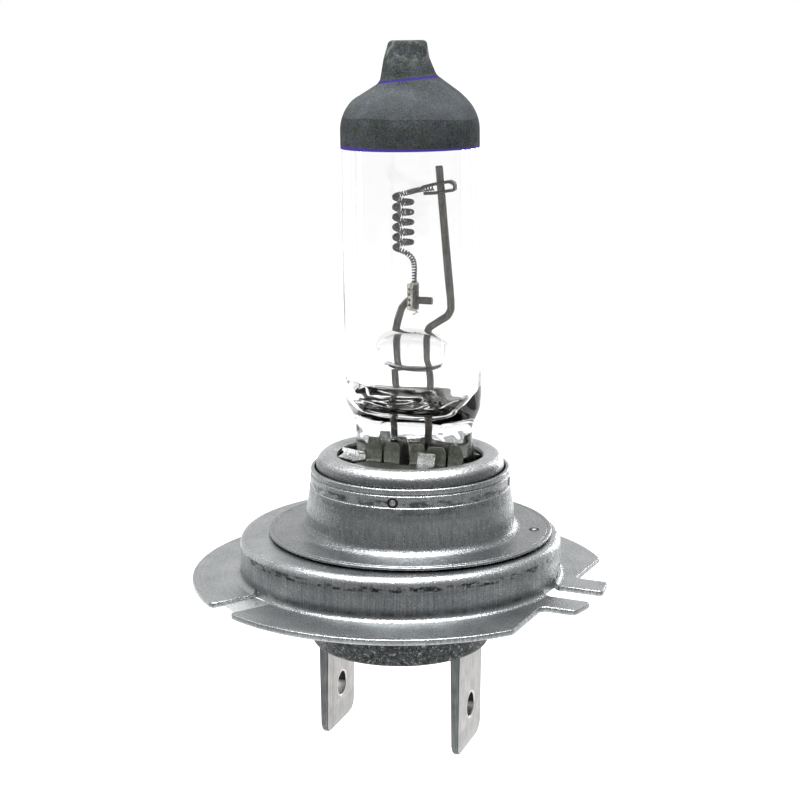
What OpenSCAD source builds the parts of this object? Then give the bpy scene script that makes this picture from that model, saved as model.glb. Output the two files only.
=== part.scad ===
// Halogen headlight bulb: one coiled filament in a quartz tube with a painted top, held in a metal cup and
// an adjusting sleeve on a slotted locating ring, with two flat blades underneath. Millimetres.
// Z points up along the bulb. The origin is on the ring's axis, in the upper face of its flange, which is the
// face that seats in the headlight. X runs from one blade to the other.

/* [Base ring] */
// Outer diameter of the drum that locates the bulb
drum_d = 26; // [25.8:0.05:26.2]
// Height of the drum above the flange
drum_h = 3.34; // [3:0.02:3.6]
// Diameter of the flange's outer arcs
flange_d = 33.8; // [32:0.1:35]
// Thickness of the ring's sheet metal
ring_sheet = 0.45; // [0.35:0.05:0.55]
// Angle of the key lug from the X axis
key_angle = -6; // [-20:1:20]
// Width over both prongs of the key lug
key_w = 7.8; // [7:0.1:8.4]
// Width of the slot between the prongs
key_slot_w = 2.7; // [2:0.1:3]
// Downward bend of the two spring tabs, in degrees
tab_bend = 4; // [2:1:16]

/* [Cup and sleeve] */
// Shift of the cup and the sleeve from the ring's axis, set when the filament is centred
unit_shift = [0.76, 0.24]; // [-0.8:0.01:0.8]
// Outer diameter of the cup
cup_d = 15.16; // [15:0.02:15.2]
// Height of the crest of the cup's rolled lip
cup_top_z = 10.05; // [9.8:0.05:10.3]
// Thickness of the cup's sheet metal
cup_sheet = 0.35; // [0.3:0.05:0.4]
// Diameter of the sleeve's flange, which is welded to the ring
sleeve_flange_d = 22.92; // [22:0.1:23]
// Height of the sleeve's upper rim
sleeve_top_z = 8.85; // [8.7:0.05:9]

/* [Glass] */
// Outer diameter of the quartz tube
tube_d = 10.8; // [10.6:0.1:11]
// Wall thickness of the tube
tube_wall = 1.1; // [0.8:0.1:1.3]
// Place of the tube's axis at the height of the cup's rim
glass_xy = [1.06, 0.36]; // [0.9:0.01:1.2]
// Lean of the tube about X and about Y, in degrees
glass_lean = [0.2, -0.6]; // [-1:0.1:1]
// Height at which the dome leaves the straight tube
dome_z = 35.6; // [35:0.1:36]
// Height of the sealed tip
tip_z = 42.42; // [42:0.02:43]
// Lower edge of the painted top
coat_z = 34.24; // [33:0.02:35]
// Width, thickness and lower end of the flat pinch seal
pinch_w = 9.7; // [9.4:0.1:9.8]
pinch_t = 2.6; // [2.4:0.1:2.7]
pinch_foot_z = 5; // [4.8:0.1:5.5]

/* [Filament and leads] */
// Outer diameter of the filament's coil
coil_d = 1.77; // [1.6:0.01:1.9]
// Lowest and highest point of the coil
coil_z = [26.25, 30.65]; // [26:0.05:31]
// Number of turns of the coil
coil_turns = 6; // [5:1:6]
// Thickness of the wound filament strand
strand_d = 0.52; // [0.4:0.01:0.54]
// Diameter of the lead wires
wire_d = 0.62; // [0.5:0.01:0.62]
// Diameter and length of the glass bridge that ties the leads together
bridge_d = 3.5; // [3:0.1:3.6]
bridge_l = 5.9; // [5:0.1:6]
// Height of the bridge's axis
bridge_z = 18.25; // [18:0.05:18.5]

/* [Terminals and insulator] */
// Width of a blade
blade_w = 6.3; // [6.2:0.05:6.4]
// Thickness of a blade
blade_t = 0.8; // [0.75:0.05:0.85]
// Distance between the middle planes of the blades
blade_pitch = 11.66; // [11.5:0.02:11.8]
// Sideways offset of each blade from the X axis
blade_stagger = 0.57; // [0:0.01:0.6]
// Height of the blades' tips
blade_tip_z = -14.14; // [-14.5:0.02:-13.5]
// Diameter of the hole in a blade
blade_hole_d = 1.96; // [1.8:0.02:2.2]
// Height of the hole in a blade
blade_hole_z = -10.68; // [-11:0.02:-10]
// Diameter of the insulator's lower boss
boss_d = 14.48; // [14.4:0.02:14.8]
// Height of the boss's lower face
boss_z = -5.75; // [-6:0.05:-5.5]

/* [Hidden] */
$fn = 96;

zinc = "#9aa0a2";
tin = "#c9c6bf";
molybdenum = "#77746c";

drum_r = drum_d / 2;
flange_r = flange_d / 2;
drum_round = 0.7;
foot_round = 0.48;
ring_bore_r = 8.6;
chord_x = 13.75;
notch_root = 12.85;
notch_w = 2.7;
notch_lift = 0.5;
tab_l = 3.1;
tab_gap = 0.35;

cup_r = cup_d / 2;
cup_foot_z = 2.2;
lip_round = 1;
curl = 0.35;
sleeve_sheet = 0.4;
sleeve_gap = 0.04;
sleeve_foot_round = 0.9;
sleeve_body_r = 8.4;

tube_r = tube_d / 2;
bore_r = tube_r - tube_wall;
tube_foot_z = 12.7;
bore_foot_z = 14.5;
foot_corner = 1.3;
dome_axis_r = 1.9;
dome_rise = 3.3;
dome_wall = 0.9;
neck_round = 0.9;
neck_rise = 4.3;
nib_base_r = 2.1;
nib_mid_r = 1.75;
nib_top_r = 1.38;
coat_t = 0.06;

lead_y = 0.35;
long_x = 2.45;
short_x = -0.5;
bridged_x = [-0.6, 2.2];
weld_z = 9.6;
foil_w = 2;
foil_t = 0.05;
foil_z = [6.4, 10.8];
foil_x = [-0.85, 2.95];
foil_y = lead_y + wire_d / 2 + foil_t / 2;
outer_x = [-1.2, 3.3];
outer_z = [2.4, 7.6];
bridge_x = 0.95;
bridge_round = 0.5;
coil_axis = [0.2, 0.3];
coil_start = 270;
coil_sweep = 360 * (coil_turns - 0.6);

disc_r = 12.4;
disc_z = [-0.25, 1];
shank_w = 5;
shank_t = 0.7;
tab_t = 0.6;
tab_w = 2;
tab_top_z = 4.2;
tip_bevel = 2;
tip_thinning = 0.18;
tip_corner = 0.9;

clip_z = 9;
clip_t = 0.3;
clip_top_z = 11.15;
finger_gap = 0.2;
finger_x = [-2.85, -1.33, 0.82, 2.35, 3.95];
finger_w = [1.35, 1.3, 1.3, 1.6, 1.2];

sleeve_welds = [-81, 9, 99, 189];
sleeve_weld_r = 8.05;
flange_welds = [12, 84, 156];
flange_weld_r = 10.06;
weld_r = 0.42;
weld_depth = 0.12;
weld_t = 0.16;
weld_height = 7.8;

// Points on an arc about a centre, from one angle to another
function arc(c, r, a0, a1, n = 8) =
    [for (i = [0:n]) c + r * [cos(a0 + (a1 - a0) * i / n), sin(a0 + (a1 - a0) * i / n)]];

// A tube swept along points in space: the ring at each point stands square to the route
function unit(v) = v / norm(v);
function heading(p, i) = unit(unit(p[min(i + 1, len(p) - 1)] - p[max(i - 1, 0)]));
function side_of(d) = unit(abs(d.y) < 0.9 ? cross(d, [0, 1, 0]) : cross(d, [1, 0, 0]));
module swept(p, d, sides = 10) {
    rings = [for (i = [0:len(p) - 1])
        let (h = heading(p, i), u = side_of(h), v = cross(h, u))
        for (k = [0:sides - 1]) p[i] + d / 2 * (cos(360 * k / sides) * u + sin(360 * k / sides) * v)];
    last = (len(p) - 1) * sides;
    polyhedron(rings, concat(
        [[for (k = [0:sides - 1]) k]],
        [for (i = [0:len(p) - 2]) for (k = [0:sides - 1])
            let (a = i * sides + k, b = i * sides + (k + 1) % sides) [a, a + sides, b + sides, b]],
        [[for (k = [sides - 1:-1:0]) last + k]]));
}

// ---- base ring ----

// Section of the drum and of the bend into the flange
function drum_section() = concat(
    [[ring_bore_r, drum_h]],
    arc([drum_r - drum_round, drum_h - drum_round], drum_round, 90, 0),
    arc([drum_r + foot_round, foot_round], foot_round, 180, 270),
    arc([drum_r + foot_round, foot_round], foot_round + ring_sheet, 270, 180),
    arc([drum_r - drum_round, drum_h - drum_round], drum_round - ring_sheet, 0, 90),
    [[ring_bore_r, drum_h - ring_sheet]]);

// Flange seen from above, with its straight side beside the key lug
module flange_outline() {
    difference() {
        union() {
            intersection() {
                circle(flange_r);
                translate([chord_x - flange_d, -flange_r]) square(flange_d);
            }
            intersection() {
                circle(flange_r);
                translate([0, -key_w / 2]) square([flange_r, key_w]);
            }
        }
        circle(drum_r + foot_round / 2);
    }
}

// Cut through the flange and the drum's foot
module notch(w) {
    translate([notch_root, -w / 2, -1]) cube([flange_r, w, 1 + notch_lift]);
}

// Tongue that slopes down across a notch from its far side
module spring_tab() {
    translate([flange_r - 0.25 - tab_l, notch_w / 2, 0]) rotate([tab_bend, 0, 0])
        translate([0, tab_gap - notch_w, -ring_sheet]) cube([tab_l, notch_w - tab_gap + 0.1, ring_sheet]);
}

module base_ring() {
    color(zinc) rotate(key_angle) {
        difference() {
            union() {
                rotate_extrude() polygon(drum_section());
                translate([0, 0, -ring_sheet]) linear_extrude(ring_sheet) flange_outline();
            }
            notch(key_slot_w);
            for (a = [-120, 120]) rotate(a) notch(notch_w);
        }
        rotate(-120) spring_tab();
        mirror([0, 1, 0]) rotate(-120) spring_tab();
    }
}

// ---- cup, sleeve and clip ----

function cup_section() = let (
    c = [cup_r - lip_round, cup_top_z - lip_round],
    k = [c.x, cup_top_z - curl]) concat(
    [[cup_r, cup_foot_z]],
    arc(c, lip_round, 0, 90),
    arc(k, curl, 90, 180, 4),
    [[k.x - curl, k.y - curl], [k.x, k.y - curl]],
    arc(c, lip_round - cup_sheet, 90, 0),
    [[cup_r - cup_sheet, cup_foot_z]]);

module holder_cup() {
    color(zinc) translate(unit_shift) rotate_extrude() polygon(cup_section());
}

function sleeve_section() = let (
    foot = [sleeve_body_r + sleeve_foot_round, drum_h + sleeve_sheet + sleeve_foot_round],
    inner_r = cup_r + sleeve_gap,
    flange_r = sleeve_flange_d / 2) concat(
    [[flange_r, drum_h], [flange_r, foot.y - sleeve_foot_round - 0.1],
        [flange_r - 0.1, foot.y - sleeve_foot_round]],
    arc(foot, sleeve_foot_round, 270, 180),
    [[8.22, 7], [8.06, 7.35], [8.02, 8.3], [7.94, 8.36], [7.99, 8.45]],
    arc([7.91, sleeve_top_z - 0.08], 0.08, 0, 90, 3),
    [[inner_r, sleeve_top_z], [inner_r, 7.3], [inner_r + 0.2, 6.9]],
    arc(foot, sleeve_foot_round + sleeve_sheet, 180, 270),
    [[foot.x, drum_h]]);

module adjusting_sleeve() {
    color(zinc) difference() {
        translate(unit_shift) rotate_extrude() polygon(sleeve_section());
        weld_shapes();
    }
}

// Weld marks that tie the sleeve to the cup and to the ring, each sunk a little way into the sleeve
module weld_shapes() {
    translate(unit_shift) {
        for (a = sleeve_welds) rotate(a)
            translate([sleeve_weld_r - weld_depth, 0, weld_height])
                rotate([0, 90, 0]) cylinder(h = weld_t, r = weld_r, $fn = 32);
        for (a = flange_welds) rotate(a)
            translate([flange_weld_r, 0, drum_h + sleeve_sheet - weld_depth])
                cylinder(h = weld_t, r = weld_r, $fn = 32);
    }
}

module weld_spots() {
    color("#8a8f92") weld_shapes();
}

// Spring plate under the cup's lip, with fingers that stand up against both faces of the pinch
module pinch_clip() {
    color(tin) {
        translate([0, 0, clip_z]) linear_extrude(clip_t) difference() {
            translate(unit_shift) circle(cup_r - cup_sheet - 0.03);
            translate(glass_xy) {
                square([pinch_w + 0.4, pinch_t + 0.4], center = true);
                for (s = [-1, 1]) translate([s * (pinch_w / 2 + 2.6), 0]) square([3.2, 8.8], center = true);
            }
        }
        translate([glass_xy.x, glass_xy.y, clip_z]) for (s = [0, 1]) mirror([0, s, 0])
            for (i = [0:len(finger_x) - 1])
                translate([finger_x[i] - finger_w[i] / 2, -pinch_t / 2 - finger_gap - clip_t, 0])
                    cube([finger_w[i], clip_t, clip_top_z - clip_z]);
    }
}

// ---- glass ----

// Places its children on the tube's leaning axis
module on_glass_axis() {
    translate([glass_xy.x, glass_xy.y, clip_z]) rotate([glass_lean.x, glass_lean.y, 0])
        translate([0, 0, -clip_z]) children();
}

// Half section of the tube's outside, from the rounded foot over the dome to the sealed nib
function outside(extra = 0) = let (
    r = tube_r + extra,
    neck = [nib_base_r + neck_round + extra, dome_z + neck_rise]) concat(
    [[0, tube_foot_z]],
    arc([r - foot_corner, tube_foot_z + foot_corner], foot_corner, -90, 0),
    [for (a = [0:8:56]) [dome_axis_r + (r - dome_axis_r) * cos(a), dome_z + (dome_rise + extra) * sin(a)]],
    arc(neck, neck_round, 239, 190, 5),
    [[nib_mid_r + extra, tip_z - 1.4], [nib_top_r + extra, tip_z - 0.45],
        [nib_top_r - 0.3 + extra, tip_z + extra], [0, tip_z + extra]]);

function cavity() = concat(
    [[0, bore_foot_z]],
    arc([bore_r - 1.2, bore_foot_z + 1.2], 1.2, -90, 0),
    [for (a = [0:10:90]) [bore_r * cos(a), dome_z + (dome_rise - dome_wall) * sin(a)]]);

module pinch_block() {
    rib = 1.6;
    translate([-pinch_w / 2 + rib / 2, -pinch_t / 2 + 0.25, pinch_foot_z])
        cube([pinch_w - rib, pinch_t - 0.5, bore_foot_z - pinch_foot_z - 0.8]);
    for (s = [-1, 1]) translate([s * (pinch_w - rib) / 2, 0, pinch_foot_z])
        linear_extrude(tube_foot_z - pinch_foot_z + 0.6) intersection() {
            square([rib, pinch_t], center = true);
            circle(pinch_t / 2);
        }
}

module glass_envelope() {
    color("#dfe7ea", 0.35) difference() {
        on_glass_axis() {
            difference() {
                rotate_extrude() polygon(outside());
                rotate_extrude() polygon(cavity());
            }
            pinch_block();
        }
        for (x = [short_x, long_x]) translate([x, lead_y, weld_z]) cylinder(h = 7, d = wire_d + 0.02);
        for (i = [0, 1]) {
            translate([outer_x[i], lead_y, pinch_foot_z - 1])
                cylinder(h = outer_z[1] - pinch_foot_z + 1, d = wire_d + 0.02);
            foil_slab(i, 0.01);
        }
    }
}

module top_coat() {
    color("#55595d") intersection() {
        on_glass_axis() difference() {
            rotate_extrude() polygon(outside(coat_t));
            rotate_extrude() polygon(outside());
        }
        translate([-10, -10, coat_z]) cube(20);
    }
}

// ---- leads and filament ----

function in_lead_plane(points) = [for (p = points) [p.x, lead_y, p.y]];
long_route = [[long_x, weld_z], [long_x, 15.6], [bridged_x[1], 16.4], [bridged_x[1], 20], [2.45, 20.35],
    [3.85, 21.15], [4.08, 21.6], [4.05, 22.1], [3.1, 32.9]];
short_route = [[short_x, weld_z], [short_x, 15.8], [bridged_x[0], 16.4], [bridged_x[0], 20], [-0.35, 20.4],
    [-0.1, 21.1], [0.2, 21.8], [0.5, 22.2], [0.9, 22.3], [2.6, 22.3]];

module long_lead_wire() {
    color(molybdenum) swept(in_lead_plane(long_route), wire_d);
}

module short_lead_wire() {
    color(molybdenum) swept(in_lead_plane(short_route), wire_d);
}

// Folded strip that grips the top of the long lead and the filament's upper leg
module upper_filament_clamp() {
    color(molybdenum) translate([3.15, lead_y, 31.15]) rotate([0, -8, 0]) difference() {
        cube([2.4, 1, 0.62], center = true);
        cylinder(h = 2, d = wire_d + 0.12, center = true);
        translate([-1.2, 0, 0]) cube([1.5, 0.66, 0.64], center = true);
    }
}

// Folded strip that grips the end of the short lead and the filament's lower leg
module lower_filament_clamp() {
    color(molybdenum) translate([1.05, lead_y, 22.6]) difference() {
        cube([0.8, 1, 2.3], center = true);
        translate([0, 0, -0.3]) rotate([0, 90, 0]) cylinder(h = 2, d = wire_d + 0.04, center = true);
        translate([0, 0, 0.9]) cube([0.6, 0.6, 0.8], center = true);
    }
}

module filament() {
    r = (coil_d - strand_d) / 2;
    z0 = coil_z[0] + strand_d / 2;
    rise = coil_z[1] - coil_z[0] - strand_d;
    steps = coil_turns * 20;
    coil = [for (i = [0:steps]) let (a = coil_start - coil_sweep * i / steps)
        [coil_axis.x + r * cos(a), coil_axis.y + r * sin(a), z0 + rise * i / steps]];
    lower_leg = [[1.1, lead_y, 23.3], [1.12, lead_y, 24.6], [1.16, 0.2, 25.3], [0.95, -0.1, 25.85],
        [0.6, -0.28, 26.3]];
    upper_leg = [[0.3, 0.85, 30.62], [0.9, 0.65, 30.84], [1.6, 0.42, 31], [2.1, lead_y, 31.05],
        [2.65, lead_y, 31.1]];
    color("#4c4a47") swept(concat(lower_leg, coil, upper_leg), strand_d, 8);
}

module glass_bridge() {
    color("#dfe7ea", 0.35) translate([bridge_x, lead_y, bridge_z]) difference() {
        rotate([0, 90, 0]) rotate_extrude() polygon(concat(
            [[0, -bridge_l / 2]],
            arc([bridge_d / 2 - bridge_round, bridge_round - bridge_l / 2], bridge_round, -90, 0, 5),
            arc([bridge_d / 2 - bridge_round, bridge_l / 2 - bridge_round], bridge_round, 0, 90, 5),
            [[0, bridge_l / 2]]));
        for (x = bridged_x) translate([x - bridge_x, 0, 0]) cylinder(h = 5, d = wire_d + 0.02, center = true);
    }
}

// ---- seals and outer leads ----

module foil_slab(i, extra = 0) {
    translate([foil_x[i], foil_y, (foil_z[0] + foil_z[1]) / 2])
        cube([foil_w + 2 * extra, foil_t + 2 * extra, foil_z[1] - foil_z[0] + 2 * extra], center = true);
}

module foil_left() {
    color(molybdenum) foil_slab(0);
}

module foil_right() {
    color(molybdenum) foil_slab(1);
}

module outer_lead(i) {
    color(molybdenum) translate([outer_x[i], lead_y, outer_z[0]])
        cylinder(h = outer_z[1] - outer_z[0], d = wire_d);
}

module outer_lead_left() {
    outer_lead(0);
}

module outer_lead_right() {
    outer_lead(1);
}

// ---- insulator and terminals ----

module insulator() {
    color("#5a5f61") difference() {
        union() {
            translate([0, 0, disc_z[0]]) cylinder(h = disc_z[1] - disc_z[0], r = disc_r);
            translate([0, 0, boss_z]) cylinder(h = disc_z[0] - boss_z, d = boss_d);
        }
        for (s = [-1, 1])
            translate([s * blade_pitch / 2, -s * blade_stagger, 0])
                cube([shank_t + 0.02, shank_w + 0.02, 20], center = true);
    }
}

// Face of a blade, drawn with its tip down
module blade_face() {
    polygon([[-blade_w / 2, boss_z], [-blade_w / 2, blade_tip_z + tip_corner],
        [tip_corner - blade_w / 2, blade_tip_z], [blade_w / 2 - tip_corner, blade_tip_z],
        [blade_w / 2, blade_tip_z + tip_corner], [blade_w / 2, boss_z]]);
}

// Blade on the +X side (s = 1) or the -X side (s = -1), with its shank, foot and the tab for the outer lead
module terminal(s, lead_x) {
    x = blade_pitch / 2;
    tab_x = abs(lead_x) + wire_d / 2 + 0.01;
    color(tin) translate([0, -s * blade_stagger, 0]) {
        difference() {
            translate([s * x - blade_t / 2, 0, 0]) rotate([90, 0, 90]) linear_extrude(blade_t) blade_face();
            translate([s * x, 0, blade_hole_z])
                rotate([0, 90, 0]) cylinder(h = 2, d = blade_hole_d, center = true);
            for (m = [0, 1]) translate([s * x, 0, blade_tip_z]) mirror([m, 0, 0])
                translate([blade_t / 2 - tip_thinning, -blade_w, 0]) rotate([0, atan(tip_thinning / tip_bevel), 0])
                    translate([0, 0, -1]) cube([1, 2 * blade_w, tip_bevel + 1]);
        }
        translate([s * x - shank_t / 2, -shank_w / 2, boss_z - 0.1])
            cube([shank_t, shank_w, disc_z[1] + tab_t - boss_z + 0.1]);
        translate([s > 0 ? tab_x : -x, -tab_w / 2, disc_z[1]]) cube([x - tab_x, tab_w, tab_t]);
        translate([s > 0 ? tab_x : -tab_x - tab_t, -tab_w / 2, disc_z[1]])
            cube([tab_t, tab_w, tab_top_z - disc_z[1]]);
    }
}

module terminal_left() {
    terminal(-1, outer_x[0]);
}

module terminal_right() {
    terminal(1, outer_x[1]);
}

glass_envelope();
top_coat();
filament();
long_lead_wire();
short_lead_wire();
upper_filament_clamp();
lower_filament_clamp();
glass_bridge();
foil_left();
foil_right();
outer_lead_left();
outer_lead_right();
pinch_clip();
holder_cup();
adjusting_sleeve();
weld_spots();
base_ring();
insulator();
terminal_left();
terminal_right();
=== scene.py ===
from math import acos, asin, copysign, cos, degrees, pi, radians, sin, sqrt, tan

import bpy
from mathutils import Matrix, Vector, noise
from mathutils.geometry import tessellate_polygon


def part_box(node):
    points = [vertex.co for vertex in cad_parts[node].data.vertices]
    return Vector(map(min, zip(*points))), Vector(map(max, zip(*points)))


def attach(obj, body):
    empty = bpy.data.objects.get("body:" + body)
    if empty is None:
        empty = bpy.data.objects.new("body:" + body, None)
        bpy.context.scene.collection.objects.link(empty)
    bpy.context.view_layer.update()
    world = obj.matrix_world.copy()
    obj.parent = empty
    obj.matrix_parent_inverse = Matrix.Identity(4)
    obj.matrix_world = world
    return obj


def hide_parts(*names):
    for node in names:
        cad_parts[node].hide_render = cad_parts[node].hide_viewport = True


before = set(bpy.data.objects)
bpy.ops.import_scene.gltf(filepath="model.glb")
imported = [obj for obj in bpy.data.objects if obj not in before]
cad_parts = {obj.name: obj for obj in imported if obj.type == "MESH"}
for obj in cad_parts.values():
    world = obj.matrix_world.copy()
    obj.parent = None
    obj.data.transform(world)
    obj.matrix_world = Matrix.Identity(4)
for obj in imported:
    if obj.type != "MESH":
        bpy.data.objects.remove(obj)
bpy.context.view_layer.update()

# Sizes are in millimetres, except the lamps' and the camera's, and mesh_of() turns them into metres.
# Angles with a name are in degrees.
MM = 0.001


# ---- measures taken from the frame ----

def box(node):
    """Lowest and highest corner of a CAD node."""
    low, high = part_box(node)
    return low / MM, high / MM


ring_high = box("base_ring")[1]
sleeve_low, sleeve_high = box("adjusting_sleeve")
cup_low, cup_high = box("holder_cup")
glass_low, glass_high = box("glass_envelope")
coat_foot = box("top_coat")[0].z
insulator_low, insulator_high = box("insulator")
long_low, long_high = box("long_lead_wire")
bridge_low, bridge_high = box("glass_bridge")

SHEET = 0.45
DRUM_R = 13
FLANGE_R = ring_high.x
DRUM_TOP = ring_high.z
DRUM_OPENING_R = 8.6
UNIT = (sleeve_low + sleeve_high) / 2
SLEEVE_FLANGE_R = (sleeve_high.x - sleeve_low.x) / 2
CUP_R = (cup_high.x - cup_low.x) / 2
KEY_ANGLE = -6
LEAD_Y = (long_low.y + long_high.y) / 2
WIRE_R = (long_high.y - long_low.y) / 2
GLASS_X, GLASS_Y = 1.06, 0.36
GLASS_LEAN_X = 0.2
GLASS_LEAN_Y = -0.6
CLIP_Z = box("pinch_clip")[0].z
TUBE_R = 5.36
TUBE_TOP = 35.6
BORE_R = 4.3
NIB_FOOT = 39.3
NIB_TOP = glass_high.z - 0.08
NIB_TILT = 0.11
SECOND_COAT_FOOT = 36.55
BLADE_TIP = box("terminal_left")[0].z
BLADE_W = 6.3
BLADE_T = 0.8
BLADE_STAGGER = 0.57
TIP_BEVEL = 2.0
HOLE_Z = -10.68
HOLE_R = 0.98


# ---- mesh building ----

# Degrees between two faces above which their shared edge is shaded sharp.
SHARP_ANGLE = 35


def arc(centre, radius, start, end, steps, squash=1.0):
    """Points on an arc from one angle to another, in degrees."""
    angles = [radians(start + (end - start) * i / steps) for i in range(steps + 1)]
    return [(centre[0] + radius * cos(a), centre[1] + squash * radius * sin(a)) for a in angles]


def on_arc(centre, radius, start, end, steps):
    """An arc's points as corners of a filleted line, without a radius of their own."""
    return [(*p, 0) for p in arc(centre, radius, start, end, steps)]


def around(sides):
    """Angles evenly spaced round a circle."""
    return [2 * pi * k / sides for k in range(sides)]


def filleted(corners, closed=True, steps=6):
    """A line through the corners, each corner rounded by the radius that is its last number."""
    points, count = [], len(corners)
    for i, corner in enumerate(corners):
        here, radius = Vector(corner[:-1]), corner[-1]
        at_end = not closed and i in (0, count - 1)
        if radius <= 0 or at_end:
            points.append(here)
            continue
        before = (Vector(corners[i - 1][:-1]) - here).normalized()
        after = (Vector(corners[(i + 1) % count][:-1]) - here).normalized()
        half = before.angle(after) / 2
        reach = radius / tan(half)
        middle = here + (before + after).normalized() * (radius / sin(half))
        first, last = here + before * reach - middle, here + after * reach - middle
        turn = pi - 2 * half
        for k in range(steps + 1):
            t = k / steps * turn
            points.append(middle + (first * sin(turn - t) + last * sin(t)) / sin(turn))
    return points


def bent(corners, steps=5):
    """An open line through the corners, rounded as in filleted."""
    return filleted(corners, closed=False, steps=steps)


def heading_at(points, i, ahead=1):
    """Direction of a line of points at one of them."""
    return (points[min(i + ahead, len(points) - 1)] - points[max(i - 1, 0)]).normalized()


def lengths_along(points):
    """Distance of each point from the first one, along the line."""
    lengths = [0.0]
    for a, b in zip(points, points[1:]):
        lengths.append(lengths[-1] + (b - a).length)
    return lengths


def stacked(rings, ends="capped"):
    """A skin over rings that all have the same number of points, with its ends capped, open or joined."""
    verts, faces, count = [p for ring in rings for p in ring], [], len(rings[0])
    for i in range(len(rings) if ends == "joined" else len(rings) - 1):
        here, there = i * count, (i + 1) % len(rings) * count
        for k in range(count):
            after = (k + 1) % count
            faces.append((here + k, here + after, there + after, there + k))
    if ends == "capped":
        faces.append(tuple(reversed(range(count))))
        faces.append(tuple(range((len(rings) - 1) * count, len(rings) * count)))
    return verts, faces


def lathe(section, centre=(0, 0), sides=256):
    """A closed section of (radius, height) points, which runs clockwise, turned about an upright axis."""
    rings = []
    for a in around(sides):
        rings.append([(centre[0] + r * cos(a), centre[1] + r * sin(a), z) for r, z in section])
    return stacked(rings, "joined")


def tube(route, radius, sides, edge=0.06):
    """A round bar along a route, with softened ends. The rings turn as little as they can along it."""
    points = [Vector(p) for p in route]
    across = heading_at(points, 0).orthogonal().normalized()
    softened = [(0, radius - edge), (edge * 0.3, radius - edge * 0.3), (edge, radius)]
    rings = []
    for i, point in enumerate(points):
        heading = heading_at(points, i)
        across = (across - heading * across.dot(heading)).normalized()
        up = heading.cross(across)
        steps = [(0, radius)]
        if edge and i == 0:
            steps = softened
        elif edge and i == len(points) - 1:
            steps = [(-offset, r) for offset, r in reversed(softened)]
        for offset, r in steps:
            middle = point + heading * offset
            rings.append([middle + r * (cos(a) * across + sin(a) * up) for a in around(sides)])
    return stacked(rings)


def strip(route, across, width, thickness, end_round=0.0):
    """A flat strip bent along a route that lies square to across."""
    points, across = [Vector(p) for p in route], Vector(across).normalized()
    lengths = lengths_along(points)
    rings = []
    for i, point in enumerate(points):
        normal = across.cross(heading_at(points, i)).normalized()
        to_end = min(lengths[i], lengths[-1] - lengths[i])
        half = width / 2
        if end_round and to_end < end_round:
            half -= end_round - sqrt(max(0.0, end_round ** 2 - (end_round - to_end) ** 2))
        h = thickness / 2
        corners = [(-half, -h), (half, -h), (half, h), (-half, h)]
        outline = filleted([(*corner, 0.3 * thickness) for corner in corners], steps=3)
        rings.append([point + across * p[0] + normal * p[1] for p in outline])
    return stacked(rings)


def anticlockwise(outline):
    """The outline, turned round if it runs clockwise."""
    area = sum(a.x * b.y - b.x * a.y for a, b in zip(outline, outline[1:] + outline[:1]))
    return outline if area >= 0 else list(reversed(outline))


def inset(outline, distance):
    """The outline moved to its left by a distance."""
    moved, count = [], len(outline)
    for i, here in enumerate(outline):
        a = (here - outline[i - 1]).normalized()
        b = (outline[(i + 1) % count] - here).normalized()
        normal = Vector((-a.y - b.y, a.x + b.x))
        if normal.length < 1e-6:
            normal = Vector((-b.y, b.x))
        normal.normalize()
        stretch = max(0.5, normal.dot(Vector((-b.y, b.x))))
        moved.append(here + normal * distance / stretch)
    return moved


def plate(outline, low, high, edge, holes=(), steps=4):
    """A plate between two heights with rounded rims. Its outline runs anticlockwise, its holes clockwise."""
    verts, faces, caps = [], [], ([], [])
    for loop in (outline, *holes):
        loop = [Vector(p[:2]) for p in loop]
        rings = []
        for k in range(steps + 1):
            a = pi / 2 * k / steps
            ring = inset(loop, edge * (1 - sin(a)))
            rings.append([(p.x, p.y, low + edge * (1 - cos(a))) for p in ring])
        rings += [[(p[0], p[1], low + high - p[2]) for p in ring] for ring in reversed(rings)]
        loop_verts, loop_faces = stacked(rings, "open")
        shift = len(verts)
        faces += [tuple(shift + v for v in face) for face in loop_faces]
        caps[0].append([shift + i for i in range(len(loop))])
        caps[1].append([shift + (len(rings) - 1) * len(loop) + i for i in range(len(loop))])
        verts += loop_verts
    for top, loops in enumerate(caps):
        flat = [v for loop in loops for v in loop]
        for triangle in tessellate_polygon([[Vector(verts[v]) for v in loop] for loop in loops]):
            face = [flat[i] for i in triangle]
            a, b, c = (Vector(verts[v]) for v in face)
            faces.append(tuple(face if ((b - a).cross(c - a).z > 0) == bool(top) else reversed(face)))
    return verts, faces


def moved(part, matrix):
    return [matrix @ Vector(v) for v in part[0]], part[1]


def turned(angle, axis="Z"):
    """A turn about an axis, in degrees."""
    return Matrix.Rotation(radians(angle), 4, axis)


def joined(*parts):
    verts, faces = [], []
    for part_verts, part_faces in parts:
        shift = len(verts)
        verts += list(part_verts)
        faces += [tuple(shift + v for v in face) for face in part_faces]
    return verts, faces


def inside_out(part):
    return part[0], [tuple(reversed(face)) for face in part[1]]


def mesh_of(name, part):
    mesh = bpy.data.meshes.new(name)
    mesh.from_pydata([Vector(v) * MM for v in part[0]], [], part[1])
    return mesh


def added(name, data):
    """A new object in the scene."""
    thing = bpy.data.objects.new(name, data)
    bpy.context.scene.collection.objects.link(thing)
    return thing


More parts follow.
